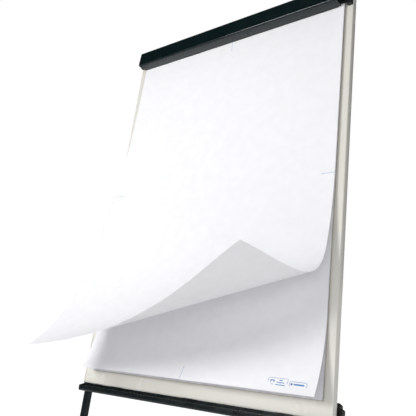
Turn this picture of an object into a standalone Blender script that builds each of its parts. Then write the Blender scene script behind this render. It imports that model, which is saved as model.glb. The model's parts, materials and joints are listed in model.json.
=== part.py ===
"""Flipchart easel: steel board, hinged clamp rail, pad, pen tray, two front legs and one rear leg.

Metres, +Z up. Everything fixed to the board is built in the board's own frame, whose origin is
the middle of the board's front lower edge: X to the right, Y into the board, Z up the board.
"""

import math

import bmesh
import bpy
from mathutils import Matrix, Vector

GAP = 0.0003

# Stance
LEAN = math.radians(12.0)
REAR_LEAN = math.radians(12.5)
BOARD_HEIGHT_ABOVE_FLOOR = 0.82

# Board
BOARD_W = 0.730
BOARD_H = 1.030
BOARD_T = 0.018
SHEET_STEEL = 0.0015
RETURN_FLANGE = 0.008
CORE_W = 0.664

# Front legs and their guides
LEG_X = 0.3507
LEG_W = 0.022
LEG_D = 0.012
GUIDE_W = 0.0252
GUIDE_D = 0.0144
GUIDE_WALL = 0.001
GUIDE_Y = 0.0018
GUIDE_TOP = 0.800
LEG_TOP = 0.150
FOOT_H = 0.045

# Leg clamps
KNOB_Z = 0.016
KNOB_R = 0.0195
BLOCK_BACK = 0.0330
STUD_R = 0.003

# Pad: standard 68 x 98 cm flipchart paper
PAD_W = 0.680
PAD_H = 0.980
PAD_BOTTOM = 0.034
# The pad hangs a little to the right of the board's middle.
PAD_X = 0.0047
CARD_Y = (-0.0032, -0.0022)
BLOCK_Y = (-0.0070, -0.0035)
SECOND_Y = -0.0075
SECOND_BEND = (0.815, 0.46)
FRONT_Y = -0.0084
SHEET_T = 0.0005
HOOK_X = 0.225
HOOK_HOLE_Z = 1.000
HOOK_TRAVEL = 0.012

# Clamp rail
RAIL_HALF = 0.333
CAP_T = 0.005
BRACKET_X = (0.352, 0.3645)
RAIL_PIN = Vector((0.0, -0.0150, 1.0230))
RAIL_WALL = 0.002
PIN_R = 0.0025

# Pen tray
TRAY_HALF = 0.3640
TRAY_CAP_T = 0.0022

# Rear leg
REAR_HINGE = Vector((0.0, 0.0560, 0.9300))
REAR_W = 0.025
REAR_UPPER_LENGTH = 0.980
REAR_LOWER_TOP = -0.800
REAR_WALL = 0.0015
# The leg rises this far above its pin, so that its top corner stops against the bracket when open.
REAR_STOP = 0.0178

# The lifted page bends as a cone whose tip lies beside the hand that turns it.
CONE_TIP = Vector((0.9394, 0.6456))
PAGE_BEND = ((0, 0.0), (45, 0.0), (70, 0.39), (90, 0.43), (110, 3.7), (130, 1.5), (150, -4.8), (180, -11.0))
# Its two lower corners stand off the cone by this much, fading out up the page.
LEFT_CORNER_PULL = Vector((-0.0063, -0.0084, -0.0064))
RIGHT_CORNER_PULL = Vector((0.0, -0.0010, 0.0040))
PULL_START = 0.45


# ---------------------------------------------------------------- helpers

def clear_scene():
    for obj in list(bpy.data.objects):
        bpy.data.objects.remove(obj)


def make_material(name, colour, roughness, metallic):
    mat = bpy.data.materials.new(name)
    mat.use_nodes = True
    shader = mat.node_tree.nodes["Principled BSDF"]
    shader.inputs["Base Color"].default_value = (*colour, 1.0)
    shader.inputs["Roughness"].default_value = roughness
    shader.inputs["Metallic"].default_value = metallic
    return mat


def make_empty(name, parent, location=(0, 0, 0), tilt=0.0):
    empty = bpy.data.objects.new(name, None)
    bpy.context.scene.collection.objects.link(empty)
    empty.parent = parent
    empty.location = location
    empty.rotation_euler = (tilt, 0, 0)
    return empty


def finish_mesh(name, bm, finish, parent, smooth=False):
    """Turn a bmesh into a named object with its finish, faces pointing out."""
    bmesh.ops.remove_doubles(bm, verts=bm.verts, dist=1e-6)
    bmesh.ops.recalc_face_normals(bm, faces=bm.faces)
    mesh = bpy.data.meshes.new(name)
    bm.to_mesh(mesh)
    bm.free()
    if smooth:
        mesh.shade_smooth()
        mesh.set_sharp_from_angle(angle=math.radians(35))
    obj = bpy.data.objects.new(name, mesh)
    bpy.context.scene.collection.objects.link(obj)
    obj.parent = parent
    if finish:
        mesh.materials.append(FINISH[finish])
    return obj


def skin(name, rings, finish, parent, closed=False, smooth=False):
    """Join rings of equal count into one solid: capped at both ends, or closed round."""
    bm = bmesh.new()
    loops = [[bm.verts.new(p) for p in ring] for ring in rings]
    pairs = list(zip(loops, loops[1:]))
    if closed:
        pairs.append((loops[-1], loops[0]))
    for low, high in pairs:
        for i in range(len(low)):
            j = (i + 1) % len(low)
            bm.faces.new((low[i], low[j], high[j], high[i]))
    if not closed:
        bm.faces.new(list(reversed(loops[0])))
        bm.faces.new(loops[-1])
    return finish_mesh(name, bm, finish, parent, smooth)


def rectangle(x, y, width, depth, radius=0.0, steps=3):
    """Points of a rectangle about (x, y), with round corners where a radius is given."""
    if radius == 0:
        steps = 0
    points = []
    for k, (sx, sy) in enumerate(((1, 1), (-1, 1), (-1, -1), (1, -1))):
        cx = x + sx * (width / 2 - radius)
        cy = y + sy * (depth / 2 - radius)
        for i in range(steps + 1):
            turn = math.radians(90 * k + (90 * i / steps if steps else 45))
            points.append((cx + radius * math.cos(turn), cy + radius * math.sin(turn)))
    return points


def upright(points, z):
    return [(x, y, z) for x, y in points]


def box(name, low, high, finish, parent, bevel=0.0):
    bm = bmesh.new()
    size = Vector(high) - Vector(low)
    centre = (Vector(high) + Vector(low)) / 2
    place = Matrix.Translation(centre) @ Matrix.Diagonal((*size, 1))
    bmesh.ops.create_cube(bm, size=1, matrix=place)
    if bevel:
        bmesh.ops.bevel(bm, geom=bm.edges, offset=bevel, segments=2, profile=0.5, affect="EDGES")
    return finish_mesh(name, bm, finish, parent)


def tube(name, outer, inner, z_low, z_high, finish, parent):
    """Open-ended tube between two outlines of equal count."""
    rings = [upright(outer, z_low), upright(outer, z_high), upright(inner, z_high), upright(inner, z_low)]
    return skin(name, rings, finish, parent, closed=True)


def turned(name, start, along, steps, finish, parent, segments=24, smooth=True):
    """Solid of revolution: steps are (distance along the axis, radius)."""
    along = Vector(along).normalized()
    side = along.orthogonal().normalized()
    other = along.cross(side)
    rings = []
    for distance, radius in steps:
        centre = Vector(start) + along * distance
        ring = []
        for i in range(segments):
            turn = 2 * math.pi * i / segments
            ring.append(centre + radius * (side * math.cos(turn) + other * math.sin(turn)))
        rings.append(ring)
    return skin(name, rings, finish, parent, smooth=smooth)


def extrusion(name, profile, x_low, x_high, finish, parent):
    """Prism along X of a (y, z) outline."""
    rings = [[(x, y, z) for y, z in profile] for x in (x_low, x_high)]
    return skin(name, rings, finish, parent)


def cut(obj, helper, operation="DIFFERENCE"):
    """Subtract a helper, or join it on. The helper itself is left out of the model."""
    helper.hide_render = True
    helper.display_type = "WIRE"
    change = obj.modifiers.new("Cut_" + helper.name, "BOOLEAN")
    change.operation = operation
    change.solver = "EXACT"
    change.object = helper


def sides():
    return (("left", -1), ("right", 1))


# ---------------------------------------------------------------- board

def build_board(board):
    half = BOARD_W / 2
    centre_z = BOARD_H / 2

    def ring(inset, y, radius=0.0):
        outline = rectangle(0, centre_z, BOARD_W - 2 * inset, BOARD_H - 2 * inset, max(radius, 0.0005), 2)
        return [(x, y, z) for x, z in outline]

    back = BOARD_T
    pan = [
        ring(0.0025, 0, 0.002), ring(0.0008, 0.0008, 0.003), ring(0, 0.0025, 0.004),
        ring(0, back, 0.004), ring(RETURN_FLANGE, back), ring(RETURN_FLANGE, back - SHEET_STEEL),
        ring(SHEET_STEEL, back - SHEET_STEEL), ring(SHEET_STEEL, SHEET_STEEL),
    ]
    panel = skin("board_panel", pan, "enamel", board)
    for side, sign in sides():
        slot = box("leg_slot_" + side, (sign * LEG_X - 0.0117, GUIDE_Y + 0.0007, -0.002),
                   (sign * LEG_X + 0.0117, GUIDE_Y + 0.0137, 0.004), None, board)
        cut(panel, slot)
    core_half = CORE_W / 2
    box("board_core", (-core_half, SHEET_STEEL + GAP, SHEET_STEEL + GAP),
        (core_half, back - 0.0020, BOARD_H - SHEET_STEEL - GAP), "core", board)
    cross_rail("bottom_cross_rail", 0.325, (back + GAP, back + 0.014), (0.006, 0.030), board)
    cross_rail("top_cross_rail", 0.345, (back + GAP, back + 0.016), (0.905, 0.955), board)
    return half


def cross_rail(name, half, depth, height, board):
    """Rectangular steel tube across the back."""
    y, z = sum(depth) / 2, sum(height) / 2
    wide, tall = depth[1] - depth[0], height[1] - height[0]
    outer = rectangle(y, z, wide, tall, 0.0025, 2)
    inner = rectangle(y, z, wide - 2 * SHEET_STEEL, tall - 2 * SHEET_STEEL, 0.0010, 2)
    rings = [[(x, a, b) for a, b in outline] for x, outline in
             ((-half, outer), (half, outer), (half, inner), (-half, inner))]
    return skin(name, rings, "black_steel", board, closed=True)


def build_leg_guides(board):
    centre_y = GUIDE_Y + GUIDE_D / 2
    for side, sign in sides():
        x = sign * LEG_X
        outer = rectangle(x, centre_y, GUIDE_W, GUIDE_D)
        inner = rectangle(x, centre_y, GUIDE_W - 2 * GUIDE_WALL, GUIDE_D - 2 * GUIDE_WALL)
        guide = tube("leg_guide_" + side, outer, inner, SHEET_STEEL + GAP, GUIDE_TOP, "zinc", board)
        block_x = x - sign * 0.0042
        block_low = (block_x - 0.0095, GUIDE_Y + GUIDE_D + GAP, RETURN_FLANGE + 0.0005)
        block_high = (block_x + 0.0095, BLOCK_BACK, 0.035)
        block = box("clamp_block_" + side, block_low, block_high, "black_plastic", board, 0.001)
        bore = turned("clamp_bore_" + side, (x, 0.0140, KNOB_Z), (0, 1, 0),
                      ((0, STUD_R + GAP), (0.03, STUD_R + GAP)), None, board, 16)
        cut(guide, bore)
        cut(block, bore)


# ---------------------------------------------------------------- clamp rail

def build_clamp_base(board):
    web = extrusion(
        "clamp_base",
        ((-GAP, 1.0295), (-GAP, 1.0275), (-0.0024, 1.0275), (-0.0024, 1.0160), (-0.0040, 1.0160),
         (-0.0040, 1.0270), (-0.0040, 1.0295)),
        -RAIL_HALF + 0.006, RAIL_HALF - 0.006, "rail_paint", board)
    # Behind the outline the plate keeps clear of the pad, and meets the board only above it.
    solid = rail_outline() + [(-0.0093, 0.9880), (-0.0093, 1.0150), (-GAP, 1.0150), (-GAP, 1.0290)]
    for side, sign in sides():
        ends = sorted((sign * (RAIL_HALF + GAP), sign * (RAIL_HALF + CAP_T)))
        plate = extrusion("clamp_end_" + side, solid, ends[0], ends[1], "rail_plastic", board)
        arm_ends = sorted((sign * (RAIL_HALF + 0.003), sign * (BRACKET_X[0] + 0.002)))
        arm_low, arm_high = (arm_ends[0], -0.0118, 0.9860), (arm_ends[1], -0.0093, 1.0290)
        arm = box("clamp_arm_" + side, arm_low, arm_high, None, board)
        foot_ends = sorted((sign * BRACKET_X[0], sign * BRACKET_X[1]))
        foot_low, foot_high = (foot_ends[0], -0.0118, 0.9815), (foot_ends[1], -GAP, 1.0290)
        foot = box("clamp_foot_" + side, foot_low, foot_high, None, board)
        bore = turned("end_bore_" + side, (sign * (RAIL_HALF - 0.005), RAIL_PIN.y, RAIL_PIN.z), (sign, 0, 0),
                      ((0, PIN_R + GAP), (0.020, PIN_R + GAP)), None, board, 16)
        cut(plate, arm, "UNION")
        cut(plate, foot, "UNION")
        cut(plate, bore)
        turned("hinge_pin_" + side, (sign * (RAIL_HALF - 0.020), RAIL_PIN.y, RAIL_PIN.z), (sign, 0, 0),
               ((0, PIN_R), (0.0245, PIN_R)), "steel", board, 16)
    return web


def rail_outline():
    """Outer outline of the hood in (y, z), from its rear top edge round the nose to the grip edge."""
    outline = [(-0.0090, 1.0318)]
    for centre, radius, start, end in (
        ((-0.0350, 1.0200), 0.0070, 95, 175),
        ((-0.0385, 0.9815), 0.0062, 185, 268),
    ):
        for i in range(6):
            turn = math.radians(start + (end - start) * i / 5)
            outline.append((centre[0] + radius * math.cos(turn), centre[1] + radius * math.sin(turn)))
    outline += [(-0.0250, 0.9770), (-0.0118, 0.9790), (-0.0118, 0.9860)]
    return outline


def inset_path(outline, wall):
    """The same path moved inwards by the wall thickness."""
    inner = []
    for i, point in enumerate(outline):
        before = Vector(outline[max(i - 1, 0)])
        after = Vector(outline[min(i + 1, len(outline) - 1)])
        along = (after - before).normalized()
        inner.append(Vector(point) + wall * Vector((-along.y, along.x)))
    return [tuple(p) for p in inner]


def build_clamp_hood(hood):
    offset = -RAIL_PIN
    outline = rail_outline()
    inner = inset_path(outline, RAIL_WALL)
    shell = [(y + offset.y, z + offset.z) for y, z in outline + list(reversed(inner))]
    extrusion("clamp_hood", shell, -RAIL_HALF, RAIL_HALF, "rail_paint", hood)
    for side, sign in sides():
        ends = sorted((sign * (RAIL_HALF - 0.007), sign * (RAIL_HALF - 0.001)))
        boss = box("hood_boss_" + side, (ends[0], -0.0055, -0.0050), (ends[1], 0.0055, 0.0048), "rail_plastic", hood, 0.001)
        bore = turned("boss_bore_" + side, (sign * (RAIL_HALF - 0.010), 0, 0), (sign, 0, 0),
                      ((0, PIN_R + GAP), (0.012, PIN_R + GAP)), None, hood, 16)
        cut(boss, bore)
    strip = ((-0.0115, 0.9792), (-0.0090, 0.9792), (-0.0090, 0.9850), (-0.0115, 0.9858))
    box("grip_strip", (-RAIL_HALF + 0.004, strip[0][0] + offset.y, strip[0][1] + offset.z),
        (RAIL_HALF - 0.004, strip[1][0] + offset.y, strip[2][1] + offset.z), "rubber", hood)


def build_springs(board):
    """Torsion springs on the hinge pins, which close the hood."""
    for side, sign in sides():
        start = Vector((sign * (RAIL_HALF - 0.008), RAIL_PIN.y, RAIL_PIN.z))
        turns, per_turn, coil_r, wire_r = 4, 14, 0.0037, 0.0006
        points = [start + Vector((0, coil_r, -0.0100))]
        for i in range(turns * per_turn + 1):
            turn = 2 * math.pi * i / per_turn
            travel = -sign * 0.0018 * i / per_turn
            points.append((start.x + travel, start.y + coil_r * math.cos(turn), start.z + coil_r * math.sin(turn)))
        points.append(Vector(points[-1]) + Vector((0, 0, -0.0100)))
        wire("clamp_spring_" + side, points, wire_r, "steel", board)


def wire(name, points, radius, finish, parent):
    curve = bpy.data.curves.new(name, "CURVE")
    curve.dimensions = "3D"
    curve.bevel_depth = radius
    curve.bevel_resolution = 1
    curve.use_fill_caps = True
    spline = curve.splines.new("POLY")
    spline.points.add(len(points) - 1)
    for point, place in zip(spline.points, points):
        point.co = (*place, 1)
    obj = bpy.data.objects.new(name, curve)
    bpy.context.scene.collection.objects.link(obj)
    obj.parent = parent
    curve.materials.append(FINISH[finish])
    return obj


def build_hook(side, sign, hook):
    """Plate that slides behind the pad, with the peg that the pad hangs on."""
    plate = box("paper_hook_" + side, (-0.014, -0.0019, -0.012), (0.014, -0.0004, 0.0268), "steel", hook)
    peg = turned("hook_peg_" + side, (0, -0.0010, 0), (0, -1, 0), ((0, 0.0040), (0.0068, 0.0040)), None, hook, 20)
    cut(plate, peg, "UNION")


# ---------------------------------------------------------------- pad

def hook_slots(name, piece, board):
    for side, sign in sides():
        half = HOOK_TRAVEL + 0.0055
        x = sign * HOOK_X
        outline = rectangle(x, HOOK_HOLE_Z, 2 * half, 0.0100, 0.0048, 4)
        rings = [[(px, y, pz) for px, pz in outline] for y in (-0.012, 0.002)]
        cut(piece, skin(name + "_slot_" + side, rings, None, board))


def build_pad(board):
    left, right = PAD_X - PAD_W / 2, PAD_X + PAD_W / 2
    top = PAD_BOTTOM + PAD_H
    card = box("backing_card", (left, CARD_Y[0], PAD_BOTTOM), (right, CARD_Y[1], top), "card", board)
    block = box("paper_block", (left, BLOCK_Y[0], PAD_BOTTOM + 0.001), (right, BLOCK_Y[1], top), "paper", board)
    hook_slots("card", card, board)
    hook_slots("block", block, board)


def second_page_point(across, down):
    """Under page: flat on the pad, then curling gently forward towards its lower edge."""
    start, bend = SECOND_BEND
    y, z = SECOND_Y, PAD_BOTTOM + PAD_H - min(down, start)
    steps = 24
    run = max(down - start, 0.0) / steps
    for i in range(steps):
        slope = bend * (i + 0.5) * run / (PAD_H - start)
        y -= run * math.sin(slope)
        z -= run * math.cos(slope)
    return Vector((PAD_X + across - PAD_W / 2, y, z))


def page_frames():
    """Ruling directions of the lifted page's cone, one for each degree round its tip."""
    along, across = Vector((0, 0, 1)), Vector((-1, 0, 0))
    frames = [along.copy()]
    for degree in range(180):
        bend = bend_at(degree + 0.5)
        front = along.cross(across)
        axis = bend * along + front
        turn = Matrix.Rotation(axis.length * math.radians(1), 3, axis.normalized())
        along, across = (turn @ along).normalized(), (turn @ across).normalized()
        frames.append(along.copy())
    return frames


def bend_at(degree):
    for (low, low_bend), (high, high_bend) in zip(PAGE_BEND, PAGE_BEND[1:]):
        if degree <= high:
            return low_bend + (high_bend - low_bend) * (degree - low) / (high - low)
    return PAGE_BEND[-1][1]


def front_page_point(frames, across, down):
    """Top page: point of the flat sheet, rolled onto the cone."""
    left, below = CONE_TIP.x - across, down - CONE_TIP.y
    degree = math.degrees(math.atan2(left, -below))
    index = min(int(degree), 179)
    part = degree - index
    ruling = (frames[index] * (1 - part) + frames[index + 1] * part).normalized()
    tip = Vector((PAD_X + CONE_TIP.x - PAD_W / 2, FRONT_Y, PAD_BOTTOM + PAD_H - CONE_TIP.y))
    pull = (max(down - PULL_START, 0.0) / (PAD_H - PULL_START)) ** 2
    rightward = across / PAD_W
    corners = LEFT_CORNER_PULL * (1 - rightward) ** 1.5 + RIGHT_CORNER_PULL * rightward ** 1.5
    return tip + ruling * math.hypot(left, below) + corners * pull


def sheet_solid(name, place, down_from, columns, rows, parent, shift=Vector((0, 0, 0))):
    """Closed thin sheet: a grid of placed points, thickened to both sides."""
    bm = bmesh.new()
    grid = []
    for r in range(rows + 1):
        down = down_from + (PAD_H - down_from) * r / rows
        grid.append([bm.verts.new(place(PAD_W * c / columns, down) + shift) for c in range(columns + 1)])
    for r in range(rows):
        for c in range(columns):
            bm.faces.new((grid[r][c], grid[r + 1][c], grid[r + 1][c + 1], grid[r][c + 1]))
    obj = finish_mesh(name, bm, "paper", parent, smooth=True)
    thickness = obj.modifiers.new("Thickness", "SOLIDIFY")
    thickness.thickness = SHEET_T
    thickness.offset = 0
    return obj


def build_pages(board, page):
    under = sheet_solid("second_page", second_page_point, 0.034, 2, 24, board)
    frames = page_frames()
    top_page = page.location
    sheet_solid("front_page", lambda a, d: front_page_point(frames, a, d), 0.0405, 22, 30, page, -top_page)
    return under


# ---------------------------------------------------------------- pen tray

def tray_profile():
    """J section in (y, z): web under the board's face, floor, front wall and rolled lip."""
    wall = 0.0018
    outline = [(0.0020, -GAP), (0.0020, -0.0220)]
    for i in range(6):
        turn = math.radians(270 - 18 * i)
        outline.append((-0.0090 + 0.0060 * math.cos(turn), -0.0160 + 0.0060 * math.sin(turn)))
    for i in range(7):
        turn = math.radians(180 - 36 * i)
        outline.append((-0.0132 + 0.0018 * math.cos(turn), -0.0092 + 0.0018 * math.sin(turn)))
    for i in range(5):
        turn = math.radians(188 + 20 * i)
        outline.append((-0.0090 + (0.0060 - wall) * math.cos(turn), -0.0160 + (0.0060 - wall) * math.sin(turn)))
    outline += [(0.0020 - wall, -0.0220 + wall), (0.0020 - wall, -GAP)]
    return outline


def build_tray(board):
    extrusion("pen_tray", tray_profile(), -TRAY_HALF, TRAY_HALF, "black_paint", board)
    plate = [(0.0020, -0.0020), (0.0020, -0.0220), (-0.0090, -0.0220), (-0.0135, -0.0200),
             (-0.0152, -0.0160), (-0.0152, -0.0090), (-0.0135, -0.0068), (-0.0060, -0.0062)]
    for side, sign in sides():
        ends = sorted((sign * (TRAY_HALF + GAP), sign * (TRAY_HALF + TRAY_CAP_T)))
        extrusion("tray_cap_" + side, plate, ends[0], ends[1], "black_plastic", board)
    angle = [(0.0023, -0.0006), (0.0023, -0.0180), (0.0041, -0.0180), (0.0041, -0.0024),
             (0.0160, -0.0024), (0.0160, -0.0006)]
    for name, x in (("left", -0.250), ("middle", 0.0), ("right", 0.250)):
        extrusion("tray_bracket_" + name, angle, x - 0.020, x + 0.020, "black_steel", board)


# ---------------------------------------------------------------- front legs

def floor_cut(y):
    """Height in the board's frame at which depth y meets the floor."""
    return (y * math.sin(LEAN) - BOARD_HEIGHT_ABOVE_FLOOR) / math.cos(LEAN)


def build_front_leg(side, leg):
    """Telescoping tube with its rubber foot, in the leg's frame at the board's lower edge."""
    centre_y = GUIDE_Y + GUIDE_D / 2
    bottom = floor_cut(centre_y) + 0.006
    outer = rectangle(0, centre_y, LEG_W, LEG_D, 0.0025, 2)
    inner = rectangle(0, centre_y, LEG_W - 0.0024, LEG_D - 0.0024, 0.0013, 2)
    tube("front_leg_" + side, outer, inner, bottom, LEG_TOP, "black_paint", leg)
    plug = rectangle(0, centre_y, LEG_W - 0.0032, LEG_D - 0.0032, 0.0010, 2)
    skin("leg_plug_" + side, [upright(plug, LEG_TOP - 0.015), upright(plug, LEG_TOP - 0.0005)], "black_plastic", leg)
    build_foot("front_foot_" + side, centre_y, LEG_W, LEG_D, 0.0026, bottom, floor_cut, leg)


def build_foot(name, centre_y, width, depth, corner, tube_end, floor, parent):
    """Rubber shoe over a tube's end, cut level with the floor."""
    wide = rectangle(0, centre_y, width + 0.010, depth + 0.010, 0.0055, 3)
    mid = rectangle(0, centre_y, width + 0.007, depth + 0.007, 0.0045, 3)
    pocket = rectangle(0, centre_y, width + 2 * GAP, depth + 2 * GAP, corner, 3)
    top = tube_end + FOOT_H
    rings = [
        [(x, y, floor(y)) for x, y in wide],
        [(x, y, floor(y) + 0.004) for x, y in wide],
        upright(mid, tube_end + 0.012),
        upright(mid, top),
        upright(pocket, top),
        upright(pocket, tube_end - GAP),
    ]
    return skin(name, rings, "rubber", parent)


def star_knob(name, start, along, radius, length, lobes, finish, parent):
    """Hand knob with rounded lobes."""
    along = Vector(along).normalized()
    side = along.orthogonal().normalized()
    other = along.cross(side)
    segments = lobes * 8
    rings = []
    for distance, scale in ((0, 0.84), (0.12, 0.97), (0.3, 1.0), (0.75, 1.0), (0.93, 0.93), (1.0, 0.78)):
        ring = []
        for i in range(segments):
            turn = 2 * math.pi * i / segments
            reach = radius * scale * (0.90 + 0.10 * math.cos(lobes * turn))
            ring.append(Vector(start) + along * distance * length + reach * (side * math.cos(turn) + other * math.sin(turn)))
        rings.append(ring)
    return skin(name, rings, finish, parent, smooth=True)


def build_leg_knob(side, knob):
    """Clamp knob and its stud, in the knob's frame on the stud's axis."""
    handle = star_knob("leg_knob_" + side, (0, BLOCK_BACK + 0.0006, 0), (0, 1, 0), KNOB_R, 0.016, 6, "black_plastic", knob)
    bore = turned("knob_bore_" + side, (0, BLOCK_BACK - 0.002, 0), (0, 1, 0),
                  ((0, STUD_R + GAP), (0.012, STUD_R + GAP)), None, knob, 16)
    cut(handle, bore)
    turned("leg_stud_" + side, (0, 0.0156, 0), (0, 1, 0), ((0, STUD_R), (0.0230, STUD_R)), "steel", knob, 16)


# ---------------------------------------------------------------- rear leg

def build_rear_bracket(board):
    """Folded bracket on the top rail, with the pin that the rear leg turns on."""
    base_y = BOARD_T + 0.0163
    x_in, x_out = REAR_W / 2 + 0.0012, REAR_W / 2 + 0.0037
    low, high = REAR_HINGE.z - 0.022, REAR_HINGE.z + 0.018
    tip = REAR_HINGE.y + 0.014
    outline = [(-x_out - 0.022, base_y), (x_out + 0.022, base_y), (x_out + 0.022, base_y + 0.0025),
               (x_out, base_y + 0.0025), (x_out, tip), (x_in, tip), (x_in, base_y + 0.0025),
               (-x_in, base_y + 0.0025), (-x_in, tip), (-x_out, tip), (-x_out, base_y + 0.0025),
               (-x_out - 0.022, base_y + 0.0025)]
    bracket = skin("rear_bracket", [upright(outline, low), upright(outline, high)], "black_steel", board)
    hole = turned("bracket_bore", (-0.03, REAR_HINGE.y, REAR_HINGE.z), (1, 0, 0),
                  ((0, 0.0043), (0.06, 0.0043)), None, board, 20)
    cut(bracket, hole)
    turned("rear_pin", (-x_out - 0.004, REAR_HINGE.y, REAR_HINGE.z), (1, 0, 0),
           ((0, 0.0040), (2 * x_out + 0.008, 0.0040)), "steel", board, 20)
    for index, (sx, z) in enumerate(((-1, low + 0.009), (1, low + 0.009), (-1, high - 0.009), (1, high - 0.009))):
        turned("bracket_screw_%d" % (index + 1), (sx * (x_out + 0.012), base_y + 0.0028, z), (0, 1, 0),
               ((0, 0.0048), (0.0014, 0.0044), (0.0026, 0.0028)), "steel", board, 16)


def rear_floor(y):
    """Height in the rear leg's frame at which depth y meets the floor."""
    height = REAR_HINGE.z * math.cos(LEAN) - REAR_HINGE.y * math.sin(LEAN) + BOARD_HEIGHT_ABOVE_FLOOR
    return -(height + y * math.sin(REAR_LEAN)) / math.cos(REAR_LEAN)


def build_rear_leg(upper, lower, knob):
    outer = rectangle(0, 0, REAR_W, REAR_W, 0.003, 3)
    inner = rectangle(0, 0, REAR_W - 2 * REAR_WALL, REAR_W - 2 * REAR_WALL, 0.0018, 3)
    leg = tube("rear_leg_upper", outer, inner, -REAR_UPPER_LENGTH, REAR_STOP, "black_paint", upper)
    hole = turned("rear_leg_bore", (-0.02, 0, 0), (1, 0, 0), ((0, 0.0043), (0.04, 0.0043)), None, upper, 20)
    cut(leg, hole)
    collar_low, collar_high = -REAR_UPPER_LENGTH - 0.018, -REAR_UPPER_LENGTH + 0.040
    shape = rectangle(0, 0, REAR_W + 0.011, REAR_W + 0.011, 0.006, 3)
    seat = rectangle(0, 0, REAR_W + 2 * GAP, REAR_W + 2 * GAP, 0.0032, 3)
    throat = rectangle(0, 0, REAR_W - 2 * REAR_WALL, REAR_W - 2 * REAR_WALL, 0.0018, 3)
    collar = skin("rear_collar", [
        upright(shape, collar_low), upright(shape, collar_high), upright(seat, collar_high),
        upright(seat, -REAR_UPPER_LENGTH - GAP), upright(throat, -REAR_UPPER_LENGTH - GAP),
        upright(throat, collar_low)], "black_plastic", upper, closed=True)
    stud_z = collar_low + 0.009
    bore = turned("collar_bore", (0, 0.005, stud_z), (0, 1, 0),
                  ((0, STUD_R + GAP), (0.03, STUD_R + GAP)), None, upper, 16)
    cut(collar, bore)
    tube_w = REAR_W - 2 * REAR_WALL - 2 * GAP
    outer = rectangle(0, 0, tube_w, tube_w, 0.0016, 3)
    inner = rectangle(0, 0, tube_w - 0.003, tube_w - 0.003, 0.0010, 3)
    bottom = rear_floor(0) + 0.008
    tube("rear_leg_lower", outer, inner, bottom, REAR_LOWER_TOP, "black_paint", lower)
    plug = rectangle(0, 0, tube_w - 0.0040, tube_w - 0.0040, 0.0008, 3)
    skin("rear_leg_plug", [upright(plug, REAR_LOWER_TOP - 0.015), upright(plug, REAR_LOWER_TOP - 0.0005)],
         "black_plastic", lower)
    build_foot("rear_foot", 0, tube_w, tube_w, 0.0016, bottom, rear_floor, lower)
    face = (REAR_W + 0.011) / 2
    handle = star_knob("rear_knob", (0, face + 0.0006, 0), (0, 1, 0), KNOB_R, 0.016, 6, "black_plastic", knob)
    cut(handle, turned("rear_knob_bore", (0, face - 0.002, 0), (0, 1, 0),
                       ((0, STUD_R + GAP), (0.012, STUD_R + GAP)), None, knob, 16))
    turned("rear_stud", (0, tube_w / 2 + GAP, 0), (0, 1, 0),
           ((0, STUD_R), (face + 0.009 - tube_w / 2, STUD_R)), "steel", knob, 16)


# ---------------------------------------------------------------- assembly

def centre_on_floor(root):
    """Shift the whole easel so that the origin is the middle of its footprint on the floor."""
    bpy.context.view_layer.update()
    graph = bpy.context.evaluated_depsgraph_get()
    low, high = Vector((1e9, 1e9, 1e9)), Vector((-1e9, -1e9, -1e9))
    for obj in bpy.context.scene.objects:
        if obj.type not in {"MESH", "CURVE"} or obj.hide_render:
            continue
        ready = obj.evaluated_get(graph)
        mesh = ready.to_mesh()
        for vertex in mesh.vertices:
            place = ready.matrix_world @ vertex.co
            low = Vector(map(min, low, place))
            high = Vector(map(max, high, place))
        ready.to_mesh_clear()
    root.location = (-(low.x + high.x) / 2, -(low.y + high.y) / 2, -low.z)
    bpy.context.view_layer.update()


def build():
    root = make_empty("easel", None)
    board = make_empty("board_frame", root, (0, 0, BOARD_HEIGHT_ABOVE_FLOOR), -LEAN)
    build_board(board)
    build_leg_guides(board)
    build_clamp_base(board)
    build_springs(board)
    build_clamp_hood(make_empty("hood_axis", board, RAIL_PIN))
    build_pad(board)
    build_pages(board, make_empty("page_axis", board, (0, -0.0130, 0.9725)))
    build_tray(board)
    for side, sign in sides():
        build_hook(side, sign, make_empty("hook_axis_" + side, board, (sign * HOOK_X, 0, HOOK_HOLE_Z)))
        build_front_leg(side, make_empty("leg_axis_" + side, board, (sign * LEG_X, 0, 0)))
        build_leg_knob(side, make_empty("knob_axis_" + side, board, (sign * LEG_X, 0, KNOB_Z)))
    build_rear_bracket(board)
    upper = make_empty("rear_leg_axis", board, REAR_HINGE, LEAN + REAR_LEAN)
    lower = make_empty("rear_slide", upper)
    knob = make_empty("rear_knob_axis", upper, (0, 0, -REAR_UPPER_LENGTH - 0.009))
    build_rear_leg(upper, lower, knob)
    centre_on_floor(root)


clear_scene()
FINISH = {
    "enamel": make_material("enamel", (0.80, 0.79, 0.73), 0.25, 0.0),
    "core": make_material("core", (0.42, 0.42, 0.41), 0.7, 0.0),
    "black_steel": make_material("black_steel", (0.02, 0.02, 0.022), 0.45, 0.3),
    "zinc": make_material("zinc", (0.55, 0.56, 0.58), 0.4, 1.0),
    "black_plastic": make_material("black_plastic", (0.015, 0.015, 0.017), 0.5, 0.0),
    "rail_paint": make_material("rail_paint", (0.012, 0.022, 0.026), 0.35, 0.2),
    "rail_plastic": make_material("rail_plastic", (0.010, 0.016, 0.020), 0.5, 0.0),
    "steel": make_material("steel", (0.62, 0.62, 0.63), 0.3, 1.0),
    "rubber": make_material("rubber", (0.02, 0.02, 0.02), 0.85, 0.0),
    "paper": make_material("paper", (0.90, 0.90, 0.92), 0.9, 0.0),
    "card": make_material("card", (0.48, 0.44, 0.38), 0.9, 0.0),
    "black_paint": make_material("black_paint", (0.010, 0.013, 0.014), 0.35, 0.2),
}
build()
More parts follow.
